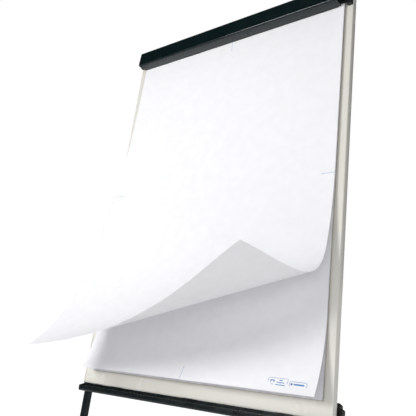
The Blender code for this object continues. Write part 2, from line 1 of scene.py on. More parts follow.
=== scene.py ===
"""Looks of the flipchart easel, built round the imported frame.

Pieces on the board are modelled in the board's own frame: X to the right, Y into the board, Z up
the board, from the middle of the board's front lower edge. Each is then put in its place in the
easel's frame. Lengths are metres.
"""

import json
import math

import bmesh
import bpy
from mathutils import Matrix, Vector


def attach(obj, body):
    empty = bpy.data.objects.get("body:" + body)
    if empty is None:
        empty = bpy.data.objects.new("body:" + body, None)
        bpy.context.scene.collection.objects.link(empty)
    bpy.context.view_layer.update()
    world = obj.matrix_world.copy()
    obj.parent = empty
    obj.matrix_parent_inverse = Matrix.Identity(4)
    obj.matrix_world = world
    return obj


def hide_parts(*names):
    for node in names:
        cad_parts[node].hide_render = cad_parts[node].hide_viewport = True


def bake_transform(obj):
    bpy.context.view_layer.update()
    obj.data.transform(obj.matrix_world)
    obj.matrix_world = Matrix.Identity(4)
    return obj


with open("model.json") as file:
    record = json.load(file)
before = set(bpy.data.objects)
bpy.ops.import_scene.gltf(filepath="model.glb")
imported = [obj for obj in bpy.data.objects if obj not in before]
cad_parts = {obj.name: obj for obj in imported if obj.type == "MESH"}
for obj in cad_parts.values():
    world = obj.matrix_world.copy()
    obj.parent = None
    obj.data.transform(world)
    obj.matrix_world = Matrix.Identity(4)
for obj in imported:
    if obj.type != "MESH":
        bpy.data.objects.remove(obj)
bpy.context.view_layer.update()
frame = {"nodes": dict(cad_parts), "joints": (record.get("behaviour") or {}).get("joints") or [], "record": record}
JOINTS = {joint["name"]: joint for joint in frame["joints"]}

# Board, from the frame: its up direction is the front legs' slide, its place the page's pivot
PAGE_PIVOT = Vector((0.0, -0.0130, 0.9725))
BOARD_W = 0.730
BOARD_H = 1.030
BOARD_T = 0.018
STEEL = 0.0015
FLANGE = 0.008

# Pad
PAD_W = 0.680
PAD_H = 0.980
PAD_BOTTOM = 0.034
PAD_X = 0.0047
SECOND_Y = -0.0075
FRONT_Y = -0.0084
PAPER = 0.0002
CURL_START = 0.815
CURL_BEND = 0.46
CONE_TIP = Vector((0.9394, 0.6456))
LEFT_CORNER_PULL = Vector((-0.0063, -0.0084, -0.0064))
RIGHT_CORNER_PULL = Vector((0.0, -0.0010, 0.0040))
PULL_START = 0.45
HOOK_X = 0.225
HOOK_SLOT = (0.035, 0.010)
PAGE_BEND = ((0, 0.0), (45, 0.0), (70, 0.39), (90, 0.43), (110, 3.7), (130, 1.5), (150, -4.8), (180, -11.0))

# Clamp rail
RAIL_HALF = 0.333
END_T = 0.005
RAIL_WALL = 0.002
CORNER_BRACKET = (0.352, 0.3645)

# Pen tray
TRAY_HALF = 0.3640
TRAY_CAP = 0.0022
TRAY_WALL = 0.0018

# Legs
LEG_X = 0.3507
LEG_Y = 0.0090
LEG_W = 0.022
LEG_D = 0.012
LEG_TOP = 0.150
REAR_W = 0.025
REAR_LOWER_W = 0.0214
SHOE_H = 0.045
KNOB_Z = 0.016
KNOB_FACE = 0.0336
KNOB_R = 0.0195
KNOB_L = 0.016


def board_matrix():
    """Board frame to easel frame."""
    up = Vector(JOINTS["leg_left_slide"]["axis"]).normalized()
    right = Vector((1, 0, 0))
    inward = up.cross(right)
    turn = Matrix((right, inward, up)).transposed().to_4x4()
    pivot = Vector(JOINTS["page_turn"]["pos_m"])
    return Matrix.Translation(pivot - turn @ PAGE_PIVOT) @ turn


def rear_matrix():
    """Rear leg frame, from its hinge and its slide, to easel frame."""
    up = Vector(JOINTS["rear_extension_slide"]["axis"]).normalized()
    right = Vector((1, 0, 0))
    turn = Matrix((right, up.cross(right), up)).transposed().to_4x4()
    return Matrix.Translation(Vector(JOINTS["rear_leg_fold"]["pos_m"])) @ turn


BOARD = board_matrix()
REAR = rear_matrix()


# ---------------------------------------------------------------- materials

def shader_of(mat):
    return mat.node_tree.nodes["Principled BSDF"]


def plain(name, colour, roughness, metallic=0.0, coat=0.0, specular=0.5):
    mat = bpy.data.materials.new(name)
    mat.use_nodes = True
    shader = shader_of(mat)
    shader.inputs["Base Color"].default_value = (*colour, 1)
    shader.inputs["Roughness"].default_value = roughness
    shader.inputs["Metallic"].default_value = metallic
    shader.inputs["Coat Weight"].default_value = coat
    shader.inputs["Coat Roughness"].default_value = 0.08
    shader.inputs["Specular IOR Level"].default_value = specular
    return mat


def coordinates(tree, stretch=(1, 1, 1)):
    where = tree.nodes.new("ShaderNodeTexCoord")
    mapping = tree.nodes.new("ShaderNodeMapping")
    mapping.inputs["Scale"].default_value = stretch
    tree.links.new(where.outputs["Object"], mapping.inputs["Vector"])
    return mapping.outputs["Vector"]


def noise(tree, vector, scale, detail=3.0):
    texture = tree.nodes.new("ShaderNodeTexNoise")
    texture.inputs["Scale"].default_value = scale
    texture.inputs["Detail"].default_value = detail
    tree.links.new(vector, texture.inputs["Vector"])
    return texture.outputs["Fac"]


def spread(tree, value, low, high):
    """Map a 0.3 to 0.7 noise onto a range."""
    remap = tree.nodes.new("ShaderNodeMapRange")
    remap.inputs["From Min"].default_value = 0.3
    remap.inputs["From Max"].default_value = 0.7
    remap.inputs["To Min"].default_value = low
    remap.inputs["To Max"].default_value = high
    tree.links.new(value, remap.inputs["Value"])
    return remap.outputs["Result"]


def mottle(mat, value, dark, light):
    """Colour that drifts between two tones with a noise."""
    tree = mat.node_tree
    mix = tree.nodes.new("ShaderNodeMix")
    mix.data_type = "RGBA"
    mix.inputs["A"].default_value = (*dark, 1)
    mix.inputs["B"].default_value = (*light, 1)
    tree.links.new(spread(tree, value, 0, 1), mix.inputs["Factor"])
    tree.links.new(mix.outputs["Result"], shader_of(mat).inputs["Base Color"])


def rough(mat, value, low, high):
    tree = mat.node_tree
    tree.links.new(spread(tree, value, low, high), shader_of(mat).inputs["Roughness"])


def bump(mat, value, strength, distance, before=None):
    tree = mat.node_tree
    relief = tree.nodes.new("ShaderNodeBump")
    relief.inputs["Strength"].default_value = strength
    relief.inputs["Distance"].default_value = distance
    tree.links.new(value, relief.inputs["Height"])
    if before:
        tree.links.new(before, relief.inputs["Normal"])
    tree.links.new(relief.outputs["Normal"], shader_of(mat).inputs["Normal"])
    return relief.outputs["Normal"]


def enamel():
    """Cream stoved enamel: glossy, with a faint orange peel and slight dulling."""
    mat = plain("cream_enamel", (0.80, 0.785, 0.715), 0.22, coat=0.5)
    tree = mat.node_tree
    place = coordinates(tree)
    mottle(mat, noise(tree, place, 3.0), (0.775, 0.76, 0.685), (0.825, 0.81, 0.745))
    rough(mat, noise(tree, place, 9.0, 5), 0.18, 0.30)
    bump(mat, noise(tree, place, 260.0, 2), 0.05, 0.0004)
    return mat


def powder_coat(name, dark, light, smoothness, grain):
    """Satin powder coat with a fine pebbled skin."""
    mat = plain(name, light, smoothness, coat=0.1, specular=0.3)
    tree = mat.node_tree
    place = coordinates(tree)
    mottle(mat, noise(tree, place, 14.0, 4), dark, light)
    rough(mat, noise(tree, place, 40.0, 4), smoothness - 0.06, smoothness + 0.08)
    skin = bump(mat, noise(tree, place, 1400.0, 2), grain, 0.0002)
    bump(mat, noise(tree, place, 120.0, 2), 0.04, 0.0005, skin)
    return mat


def moulded(name, dark, light, smoothness):
    """Spark-textured moulded plastic."""
    mat = plain(name, light, smoothness)
    tree = mat.node_tree
    place = coordinates(tree)
    mottle(mat, noise(tree, place, 30.0), dark, light)
    rough(mat, noise(tree, place, 90.0), smoothness - 0.06, smoothness + 0.08)
    bump(mat, noise(tree, place, 2200.0, 3), 0.35, 0.0002)
    return mat


def rubber():
    mat = plain("rubber", (0.022, 0.022, 0.022), 0.8, specular=0.3)
    tree = mat.node_tree
    place = coordinates(tree)
    mottle(mat, noise(tree, place, 60.0, 6), (0.014, 0.014, 0.014), (0.040, 0.039, 0.037))
    rough(mat, noise(tree, place, 140.0), 0.68, 0.9)
    bump(mat, noise(tree, place, 900.0, 4), 0.3, 0.0003)
    return mat


def metal(name, dark, light, low, high, stretch):
    """Drawn or plated steel, streaked along one direction."""
    mat = plain(name, light, high, metallic=1.0)
    tree = mat.node_tree
    streaks = noise(tree, coordinates(tree, stretch), 300.0, 4)
    mottle(mat, streaks, dark, light)
    rough(mat, streaks, low, high)
    bump(mat, streaks, 0.1, 0.0001)
    return mat


def paper(name, dark, light):
    """White bond paper: soft fibre cloud and a very fine tooth."""
    mat = plain(name, light, 0.75, specular=0.25)
    tree = mat.node_tree
    place = coordinates(tree)
    mottle(mat, noise(tree, place, 45.0, 8), dark, light)
    rough(mat, noise(tree, place, 300.0), 0.68, 0.85)
    tooth = bump(mat, noise(tree, place, 1800.0, 4), 0.10, 0.0001)
    bump(mat, noise(tree, place, 6.0, 2), 0.10, 0.002, tooth)
    return mat


def page_edges_painted_shade():
    """Cut edges of the stacked sheets: fine lines parallel to the board, on paper painted greyer and bluer than
    the sheets as painted shade between the leaves.
    """
    # Painted shade: the paper's tone is darkened and tinted lilac-grey to stand in for the shade along the stack's
    # edges
    mat = paper("page_edges_painted_shade", (0.70, 0.70, 0.74), (0.84, 0.84, 0.87))
    tree = mat.node_tree
    where = tree.nodes.new("ShaderNodeTexCoord")
    lean = tree.nodes.new("ShaderNodeMapping")
    lean.inputs["Rotation"].default_value = (math.radians(12), 0, 0)
    lean.inputs["Scale"].default_value = (0.5, 5000, 0.5)
    tree.links.new(where.outputs["Object"], lean.inputs["Vector"])
    bump(mat, noise(tree, lean.outputs["Vector"], 1.0, 2), 0.5, 0.0002)
    return mat


def ink(name, colour):
    mat = plain(name, colour, 0.6, specular=0.25)
    tree = mat.node_tree
    mottle(mat, noise(tree, coordinates(tree), 900.0, 2), [c * 0.93 for c in colour], colour)
    return mat


def fibre_board():
    mat = plain("grey_board", (0.36, 0.36, 0.35), 0.85, specular=0.2)
    tree = mat.node_tree
    place = coordinates(tree)
    mottle(mat, noise(tree, place, 240.0, 8), (0.27, 0.265, 0.25), (0.43, 0.42, 0.40))
    bump(mat, noise(tree, place, 700.0, 5), 0.3, 0.0003)
    return mat


def brown_card():
    mat = plain("brown_card", (0.48, 0.42, 0.33), 0.85, specular=0.2)
    tree = mat.node_tree
    pulp = noise(tree, coordinates(tree, (1, 1, 0.25)), 300.0, 8)
    mottle(mat, pulp, (0.38, 0.33, 0.26), (0.55, 0.49, 0.40))
    bump(mat, noise(tree, coordinates(tree), 800.0, 4), 0.2, 0.0002)
    return mat


# ---------------------------------------------------------------- modelling helpers

def object_mode():
    if bpy.context.mode != "OBJECT":
        bpy.ops.object.mode_set(mode="OBJECT")


def deselect():
    object_mode()
    bpy.ops.object.select_all(action="DESELECT")


def activate(piece):
    deselect()
    piece.select_set(True)
    bpy.context.view_layer.objects.active = piece


def block(name, low, high):
    """Start a piece from a cube between two corners."""
    low, high = Vector(low), Vector(high)
    deselect()
    bpy.ops.mesh.primitive_cube_add(size=1, location=(low + high) / 2)
    piece = bpy.context.object
    piece.name = name
    piece.scale = high - low
    bpy.ops.object.transform_apply(location=True, rotation=True, scale=True)
    return piece


def pick(piece, kind, wanted):
    """Enter edit mode with only the corners, edges or faces that a test picks selected."""
    activate(piece)
    bpy.ops.object.mode_set(mode="EDIT")
    bpy.ops.mesh.select_mode(type=kind)
    bpy.ops.mesh.select_all(action="DESELECT")
    mesh = bmesh.from_edit_mesh(piece.data)
    mesh.normal_update()
    parts = {"VERT": mesh.verts, "EDGE": mesh.edges, "FACE": mesh.faces}[kind]
    for part in parts:
        if wanted(part):
            part.select_set(True)
    mesh.select_flush_mode()
    bmesh.update_edit_mesh(piece.data)


def faces_towards(direction):
    """Test for faces whose normal runs along a direction."""
    direction = Vector(direction)
    return lambda face: face.normal.dot(direction) > 0.99


def edges_along(direction):
    direction = Vector(direction)

    def wanted(edge):
        run = edge.verts[1].co - edge.verts[0].co
        return run.length > 0 and abs(run.normalized().dot(direction)) > 0.999
    return wanted


def extrude(move):
    bpy.ops.mesh.extrude_region_move(TRANSFORM_OT_translate={"value": move})


def resize(scale, centre):
    bpy.ops.transform.resize(value=scale, center_override=centre)


def bevel_edges(width, segments):
    bpy.ops.mesh.bevel(offset=width, segments=segments, affect="EDGES", clamp_overlap=True)


def apply_modifier(piece, kind, **settings):
    activate(piece)
    modifier = piece.modifiers.new("shape", kind)
    for name, value in settings.items():
        setattr(modifier, name, value)
    bpy.ops.object.modifier_apply(modifier=modifier.name)


def soften(piece, width, segments=3, angle=32):
    """Round every sharp edge a little and shade the faces true."""
    apply_modifier(piece, "BEVEL", width=width, segments=segments, limit_method="ANGLE",
                   angle_limit=math.radians(angle), use_clamp_overlap=True)
    shade(piece)


def shade(piece, angle=50):
    activate(piece)
    bpy.ops.object.shade_smooth_by_angle(angle=math.radians(angle))
    apply_modifier(piece, "WEIGHTED_NORMAL", weight=60, keep_sharp=True)


def draw(name, corners, x):
    """Line of corners in (y, z), drawn by extruding a point; a third number rounds that corner."""
    deselect()
    bpy.ops.mesh.primitive_plane_add(size=0.001, location=(x, *corners[0][:2]))
    piece = bpy.context.object
    piece.name = name
    bpy.ops.object.transform_apply(location=True, rotation=True, scale=True)
    bpy.ops.object.mode_set(mode="EDIT")
    bpy.ops.mesh.select_mode(type="VERT")
    bpy.ops.mesh.select_all(action="SELECT")
    bpy.ops.mesh.merge(type="CENTER")
    for (y, z, *_), (next_y, next_z, *_) in zip(corners, corners[1:]):
        bpy.ops.mesh.extrude_vertices_move(TRANSFORM_OT_translate={"value": (0, next_y - y, next_z - z)})
    object_mode()
    return piece


def round_corners(piece, corners):
    """Round the drawn corners that have a radius, each found by its place."""
    for y, z, *radius in corners:
        if radius:
            pick(piece, "VERT", lambda v: (Vector(v.co.yz) - Vector((y, z))).length < 1e-5)
            bpy.ops.mesh.bevel(offset=radius[0], segments=8, affect="VERTICES", offset_type="OFFSET")
            object_mode()


def solid_profile(name, corners, low, high):
    """Solid bar along X with a closed profile."""
    piece = draw(name, corners, low)
    pick(piece, "VERT", lambda v: True)
    bpy.ops.mesh.edge_face_add()
    object_mode()
    round_corners(piece, corners)
    pick(piece, "FACE", lambda face: True)
    extrude((high - low, 0, 0))
    bpy.ops.mesh.select_all(action="SELECT")
    bpy.ops.mesh.normals_make_consistent(inside=False)
    object_mode()
    return piece


def sheet_profile(name, corners, low, high, wall, outward):
    """Folded sheet along X: an open profile drawn on its outside, its wall added inwards.

    outward is the way that the face at the first corner looks.
    """
    piece = draw(name, corners, low)
    round_corners(piece, corners)
    pick(piece, "EDGE", lambda edge: True)
    extrude((high - low, 0, 0))
    bpy.ops.mesh.select_all(action="SELECT")
    bpy.ops.mesh.normals_make_consistent(inside=False)
    object_mode()
    start = Vector(((low + high) / 2, *corners[0][:2]))
    first = min(piece.data.polygons, key=lambda face: (face.center - start).length)
    if first.normal.dot(Vector(outward)) < 0:
        piece.data.flip_normals()
    apply_modifier(piece, "SOLIDIFY", thickness=wall, offset=-1.0, use_even_offset=True)
    return piece


def bar(name, centre, size, z_low, z_high, corner, wall=0.0):
    """Rectangular tube upright along Z with round corners, hollowed a little way in from both ends."""
    x, y = centre
    half_w, half_d = size[0] / 2, size[1] / 2
    piece = block(name, (x - half_w, y - half_d, z_low), (x + half_w, y + half_d, z_high))
    pick(piece, "EDGE", edges_along((0, 0, 1)))
    bevel_edges(corner, 5)
    object_mode()
    if wall:
        for direction in (1, -1):
            pick(piece, "FACE", faces_towards((0, 0, direction)))
            bpy.ops.mesh.inset(thickness=wall, depth=0)
            extrude((0, 0, -0.02 * direction))
            object_mode()
    return piece


def settle(piece, matrix, mat, body, slot, *nodes):
    """Put a finished piece in its place, with its finish, on the body it moves with."""
    object_mode()
    if matrix is not None:
        piece.data.transform(matrix)
    piece.data.update()
    piece.data.materials.clear()
    piece.data.materials.append(mat)
    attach(piece, body)
    if nodes:
        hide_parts(*nodes)
    return piece


def sides():
    return (("left", -1), ("right", 1))


# ---------------------------------------------------------------- board

# Slot for each front leg: half its width, then where it starts and ends in depth
LEG_SLOT = (0.0117, 0.0030, 0.0155)


def make_board(mat):
    """Folded steel pan: round corners, a soft front edge and a return flange at the back."""
    pan = block("board_pan", (-BOARD_W / 2, 0, 0), (BOARD_W / 2, BOARD_T, BOARD_H))
    pick(pan, "EDGE", edges_along((0, 1, 0)))
    bevel_edges(0.004, 5)
    object_mode()
    pick(pan, "FACE", faces_towards((0, 1, 0)))
    bpy.ops.mesh.inset(thickness=FLANGE, depth=0)
    extrude((0, -STEEL, 0))
    wider = (BOARD_W - 2 * STEEL) / (BOARD_W - 2 * FLANGE)
    taller = (BOARD_H - 2 * STEEL) / (BOARD_H - 2 * FLANGE)
    resize((wider, 1, taller), (0, BOARD_T - STEEL, BOARD_H / 2))
    extrude((0, -(BOARD_T - 2 * STEEL), 0))
    object_mode()
    pick(pan, "EDGE", lambda edge: all(v.co.y < 1e-5 for v in edge.verts) and len(edge.link_faces) == 2)
    bevel_edges(0.0026, 5)
    object_mode()
    soften(pan, 0.0005, 2, 60)
    for _, sign in sides():
        low = (sign * LEG_X - LEG_SLOT[0], LEG_SLOT[1], -0.004)
        high = (sign * LEG_X + LEG_SLOT[0], LEG_SLOT[2], 0.004)
        cutter = block("cutter", low, high)
        apply_modifier(pan, "BOOLEAN", operation="DIFFERENCE", object=cutter, solver="EXACT")
        bpy.data.objects.remove(cutter)
    settle(pan, BOARD, mat, "board", "enamel", "board_panel")


def make_cross_rails(mat, cap_mat):
    for name, half, depth, height in (
        ("lower_rail", 0.325, (0.0183, 0.0320), (0.006, 0.030)),
        ("upper_rail", 0.345, (0.0183, 0.0340), (0.905, 0.955)),
    ):
        rail = block(name, (-half + 0.002, depth[0], height[0]), (half - 0.002, depth[1], height[1]))
        pick(rail, "EDGE", edges_along((1, 0, 0)))
        bevel_edges(0.0025, 5)
        object_mode()
        shade(rail)
        settle(rail, BOARD, mat, "board", "black_steel",
               "bottom_cross_rail" if name == "lower_rail" else "top_cross_rail")
        for side, sign in sides():
            ends = sorted((sign * (half - 0.0018), sign * half))
            cap = block(name + "_cap_" + side, (ends[0], depth[0] + 0.0004, height[0] + 0.0004),
                        (ends[1], depth[1] - 0.0004, height[1] - 0.0004))
            pick(cap, "EDGE", edges_along((1, 0, 0)))
            bevel_edges(0.0022, 4)
            object_mode()
            soften(cap, 0.0006, 3, 50)
            settle(cap, BOARD, cap_mat, "board", "black_plastic")


# ---------------------------------------------------------------- clamp rail

RAIL_PROFILE = ((-0.0090, 1.0318), (-0.0415, 1.0260, 0.0068), (-0.0449, 0.9753, 0.0062),
                (-0.0250, 0.9770, 0.006), (-0.0118, 0.9790))


# Lower end of each clamp foot; the left one stops higher, hidden by the hood
FOOT_LOW = {"left": 0.9950, "right": 0.9815}


def make_rail(mat, end_mat):
    section = (*RAIL_PROFILE, (-0.0118, 0.9860))
    hood = sheet_profile("rail_hood", section, -RAIL_HALF, RAIL_HALF, RAIL_WALL, (0, 0, 1))
    soften(hood, 0.0004, 2, 40)
    settle(hood, BOARD, mat, "hood", "rail_paint", "clamp_hood")
    behind_pad = ((-0.0118, 0.9860), (-0.0093, 0.9880), (-0.0093, 1.0150),
                  (-0.0003, 1.0150), (-0.0003, 1.0290))
    for side, sign in sides():
        ends = sorted((sign * (RAIL_HALF + 0.0003), sign * (RAIL_HALF + END_T)))
        plate = solid_profile("rail_end_" + side, (*RAIL_PROFILE, *behind_pad), ends[0], ends[1])
        outward = Vector((sign, 0, 0))
        arm = corner_block("arm", sign, (RAIL_HALF + 0.003, CORNER_BRACKET[0] + 0.002), (-0.0118, -0.0093),
                           (0.9860, 1.0290), 0.001)
        foot = corner_block("foot", sign, CORNER_BRACKET, (-0.0118, -0.0003), (FOOT_LOW[side], 1.0290), 0.003)
        for extra in (arm, foot):
            apply_modifier(plate, "BOOLEAN", operation="UNION", object=extra, solver="EXACT")
            bpy.data.objects.remove(extra)
        soften(plate, 0.0005, 3, 40)
        settle(plate, BOARD, end_mat, "board", "rail_plastic", "clamp_end_" + side)
        screw_head("rail_screw_" + side, outward, (sign * (RAIL_HALF + END_T), -0.0150, 1.0230),
                   0.0034, BOARD, "board")


def corner_block(name, sign, across, depth, height, corner):
    """Block at one end of the rail, its upright edges rounded."""
    x_low, x_high = sorted((sign * across[0], sign * across[1]))
    piece = block(name, (x_low, depth[0], height[0]), (x_high, depth[1], height[1]))
    pick(piece, "EDGE", lambda edge: edges_along((0, 0, 1))(edge) and edge.verts[0].co.y < depth[0] + 1e-5)
    bevel_edges(corner, 4)
    object_mode()
    return piece


# ---------------------------------------------------------------- fasteners and knobs

def screw_head(name, outward, place, radius, matrix, body, *nodes):
    """Low domed head with a cross recess."""
    deselect()
    bpy.ops.mesh.primitive_cylinder_add(vertices=32, radius=radius, depth=0.0016)
    head = bpy.context.object
    head.name = name
    pick(head, "FACE", faces_towards((0, 0, 1)))
    bpy.ops.mesh.inset(thickness=radius * 0.35, depth=radius * 0.16)
    bpy.ops.mesh.inset(thickness=radius * 0.20, depth=0)
    object_mode()
    for turn in (0, 90):
        deselect()
        bpy.ops.mesh.primitive_cube_add(size=1, location=(0, 0, 0.0012))
        slot = bpy.context.object
        slot.scale = (radius * 0.95, radius * 0.22, 0.0014)
        slot.rotation_euler = (0, 0, math.radians(turn))
        bpy.ops.object.transform_apply(location=True, rotation=True, scale=True)
        apply_modifier(head, "BOOLEAN", operation="DIFFERENCE", object=slot, solver="EXACT")
        bpy.data.objects.remove(slot)
    soften(head, 0.00015, 2, 35)
    turn = Vector((0, 0, 1)).rotation_difference(Vector(outward)).to_matrix().to_4x4()
    head.data.transform(Matrix.Translation(Vector(place) + Vector(outward) * 0.0009) @ turn)
    return settle(head, matrix, MAT["screw"], body, "steel", *nodes)


def make_knob(name, place, body, matrix, node):
    """Six-lobed hand knob with a dished face and a raised centre; its axis runs along Y."""
    deselect()
    bpy.ops.mesh.primitive_cylinder_add(vertices=24, radius=KNOB_R, depth=KNOB_L)
    knob = bpy.context.object
    knob.name = name

    def valley(edge):
        turn = math.degrees(math.atan2(edge.verts[0].co.y, edge.verts[0].co.x)) % 60
        return edges_along((0, 0, 1))(edge) and abs(turn - 30) < 1
    pick(knob, "EDGE", valley)
    resize((0.80, 0.80, 1), (0, 0, 0))
    object_mode()
    for direction, steps in ((1, ((0.90, 0.0), (0.72, 0.0), (0.62, -0.0022), (0.40, 0.0), (0.36, 0.0016))),
                             (-1, ((0.90, 0.0), (0.62, 0.0), (0.60, 0.0030), (0.30, 0.0)))):
        pick(knob, "FACE", faces_towards((0, 0, direction)))
        shrunk, level = 1.0, direction * KNOB_L / 2
        for scale, rise in steps:
            extrude((0, 0, 0))
            level += rise
            bpy.ops.transform.translate(value=(0, 0, rise))
            resize((scale / shrunk, scale / shrunk, 1), (0, 0, level))
            shrunk = scale
        object_mode()
    apply_modifier(knob, "BEVEL", width=0.0010, segments=2, limit_method="ANGLE",
                   angle_limit=math.radians(50))
    apply_modifier(knob, "SUBSURF", levels=2, render_levels=2)
    shade(knob, 40)
    turn = Vector((0, 0, 1)).rotation_difference(Vector((0, 1, 0))).to_matrix().to_4x4()
    knob.data.transform(Matrix.Translation(Vector(place) + Vector((0, KNOB_L / 2, 0))) @ turn)
    return settle(knob, matrix, MAT["plastic"], body, "black_plastic", node)


# ---------------------------------------------------------------- pen tray

def make_tray(mat, cap_mat):
    corners = ((0.0020, -0.0003), (0.0020, -0.0220, 0.0012), (-0.0150, -0.0220, 0.0060),
               (-0.0150, -0.0074, 0.0017), (-0.0114, -0.0074, 0.0017), (-0.0114, -0.0100))
    tray = sheet_profile("tray", corners, -TRAY_HALF, TRAY_HALF, TRAY_WALL, (0, 1, 0))
    soften(tray, 0.0003, 2, 45)
    settle(tray, BOARD, mat, "board", "black_paint", "pen_tray")
    corners = ((0.0020, -0.0020, 0.002), (0.0020, -0.0220, 0.002), (-0.0150, -0.0220, 0.0062),
               (-0.0150, -0.0064, 0.003), (-0.0110, -0.0064, 0.002))
    for side, sign in sides():
        ends = sorted((sign * (TRAY_HALF + 0.0003), sign * (TRAY_HALF + TRAY_CAP)))
        cap = solid_profile("tray_end_" + side, corners, ends[0], ends[1])
        soften(cap, 0.0006, 3, 40)
        settle(cap, BOARD, cap_mat, "board", "black_plastic", "tray_cap_" + side)


# ---------------------------------------------------------------- legs

def shoe(name, centre, size, tube_end, matrix, body, node):
    """Ribbed rubber shoe, cut level with the floor."""
    x, y = centre
    half_w, half_d = size[0] / 2 + 0.0035, size[1] / 2 + 0.0035
    top = tube_end + SHOE_H
    piece = block(name, (x - half_w, y - half_d, top - 0.004), (x + half_w, y + half_d, top))
    pick(piece, "EDGE", edges_along((0, 0, 1)))
    bevel_edges(0.0042, 5)
    object_mode()
    level = top - 0.004
    for drop, grow in ((0.003, 0.985), (0.0015, 0.955), (0.003, 1.0), (0.0015, 0.955), (0.003, 1.0),
                       (0.0015, 0.955), (0.003, 1.0), (0.012, 1.0), (0.008, 1.17), (0.040, 1.17)):
        pick(piece, "FACE", faces_towards((0, 0, -1)))
        mesh = bmesh.from_edit_mesh(piece.data)
        reach = max(v.co.x for v in mesh.verts if v.select) - x
        extrude((0, 0, -drop))
        level -= drop
        resize((grow * half_w / reach, grow * half_w / reach, 1), (x, y, level))
        object_mode()
    piece.data.transform(matrix)
    pick(piece, "FACE", lambda face: True)
    bpy.ops.mesh.bisect(plane_co=(0, 0, 0), plane_no=(0, 0, 1), use_fill=True, clear_inner=True)
    object_mode()
    pick(piece, "FACE", lambda face: face.normal.z > 0.9 and face.calc_center_median().z > 0.03)
    bpy.ops.mesh.inset(thickness=0.0030, depth=0)
    object_mode()
    soften(piece, 0.0005, 2, 35)
    low = min(v.co.z for v in piece.data.vertices)
    piece.data.transform(Matrix.Translation((0, 0, max(0.0, -low))))
    return settle(piece, None, MAT["rubber"], body, "rubber", node)


def floor_in_board(y):
    """Height in the board's frame at which depth y meets the floor."""
    at = BOARD @ Vector((0, y, 0))
    return -at.z / BOARD.col[2].z


def make_front_legs(mat):
    for side, sign in sides():
        x = sign * LEG_X
        bottom = floor_in_board(LEG_Y) + 0.006
        leg = bar("leg_tube_" + side, (x, LEG_Y), (LEG_W, LEG_D), bottom, LEG_TOP, 0.0026)
        shade(leg)
        settle(leg, BOARD, mat, "leg_" + side, "black_paint", "front_leg_" + side)
        shoe("leg_shoe_" + side, (x, LEG_Y), (LEG_W, LEG_D), bottom, BOARD,
             "leg_" + side, "front_foot_" + side)
        make_knob("hand_knob_" + side, (x, KNOB_FACE, KNOB_Z), "knob_" + side, BOARD, "leg_knob_" + side)


def make_rear_leg(mat):
    low = -0.980
    upper = bar("rear_tube_upper", (0, 0), (REAR_W, REAR_W), low, 0.0178, 0.003, 0.0015)
    cutter = round_cutter(0.0043, (0, 0, 0), (1, 0, 0), 0.05)
    apply_modifier(upper, "BOOLEAN", operation="DIFFERENCE", object=cutter, solver="EXACT")
    bpy.data.objects.remove(cutter)
    shade(upper)
    settle(upper, REAR, mat, "rear_leg", "black_paint", "rear_leg_upper")
    bottom = -REAR.translation.z / REAR.col[2].z + 0.008
    lower = bar("rear_tube_lower", (0, 0), (REAR_LOWER_W, REAR_LOWER_W), bottom, -0.800, 0.0018)
    shade(lower)
    settle(lower, REAR, mat, "rear_extension", "black_paint", "rear_leg_lower")
    shoe("rear_shoe", (0, 0), (REAR_LOWER_W, REAR_LOWER_W), bottom, REAR, "rear_extension", "rear_foot")
    wide = REAR_W / 2 + 0.0055
    collar = block("collar", (-wide, -wide, low - 0.018), (wide, wide, low + 0.040))
    pick(collar, "EDGE", edges_along((0, 0, 1)))
    bevel_edges(0.006, 6)
    object_mode()
    seat = bar("collar_seat", (0, 0), (REAR_W + 0.0006, REAR_W + 0.0006), low - 0.0003, low + 0.060, 0.003)
    bore = REAR_LOWER_W + 0.0006
    throat = bar("collar_throat", (0, 0), (bore, bore), low - 0.03, low + 0.01, 0.0018)
    for cutter in (seat, throat):
        apply_modifier(collar, "BOOLEAN", operation="DIFFERENCE", object=cutter, solver="EXACT")
        bpy.data.objects.remove(cutter)
    soften(collar, 0.0012, 3, 40)
    settle(collar, REAR, MAT["plastic"], "rear_leg", "black_plastic", "rear_collar")
    make_knob("hand_knob_rear", (0, wide + 0.0006, low - 0.009), "knob_rear", REAR, "rear_knob")


def round_cutter(radius, place, along, depth):
    deselect()
    bpy.ops.mesh.primitive_cylinder_add(vertices=40, radius=radius, depth=depth)
    cutter = bpy.context.object
    turn = Vector((0, 0, 1)).rotation_difference(Vector(along)).to_matrix().to_4x4()
    cutter.data.transform(Matrix.Translation(place) @ turn)
    return cutter


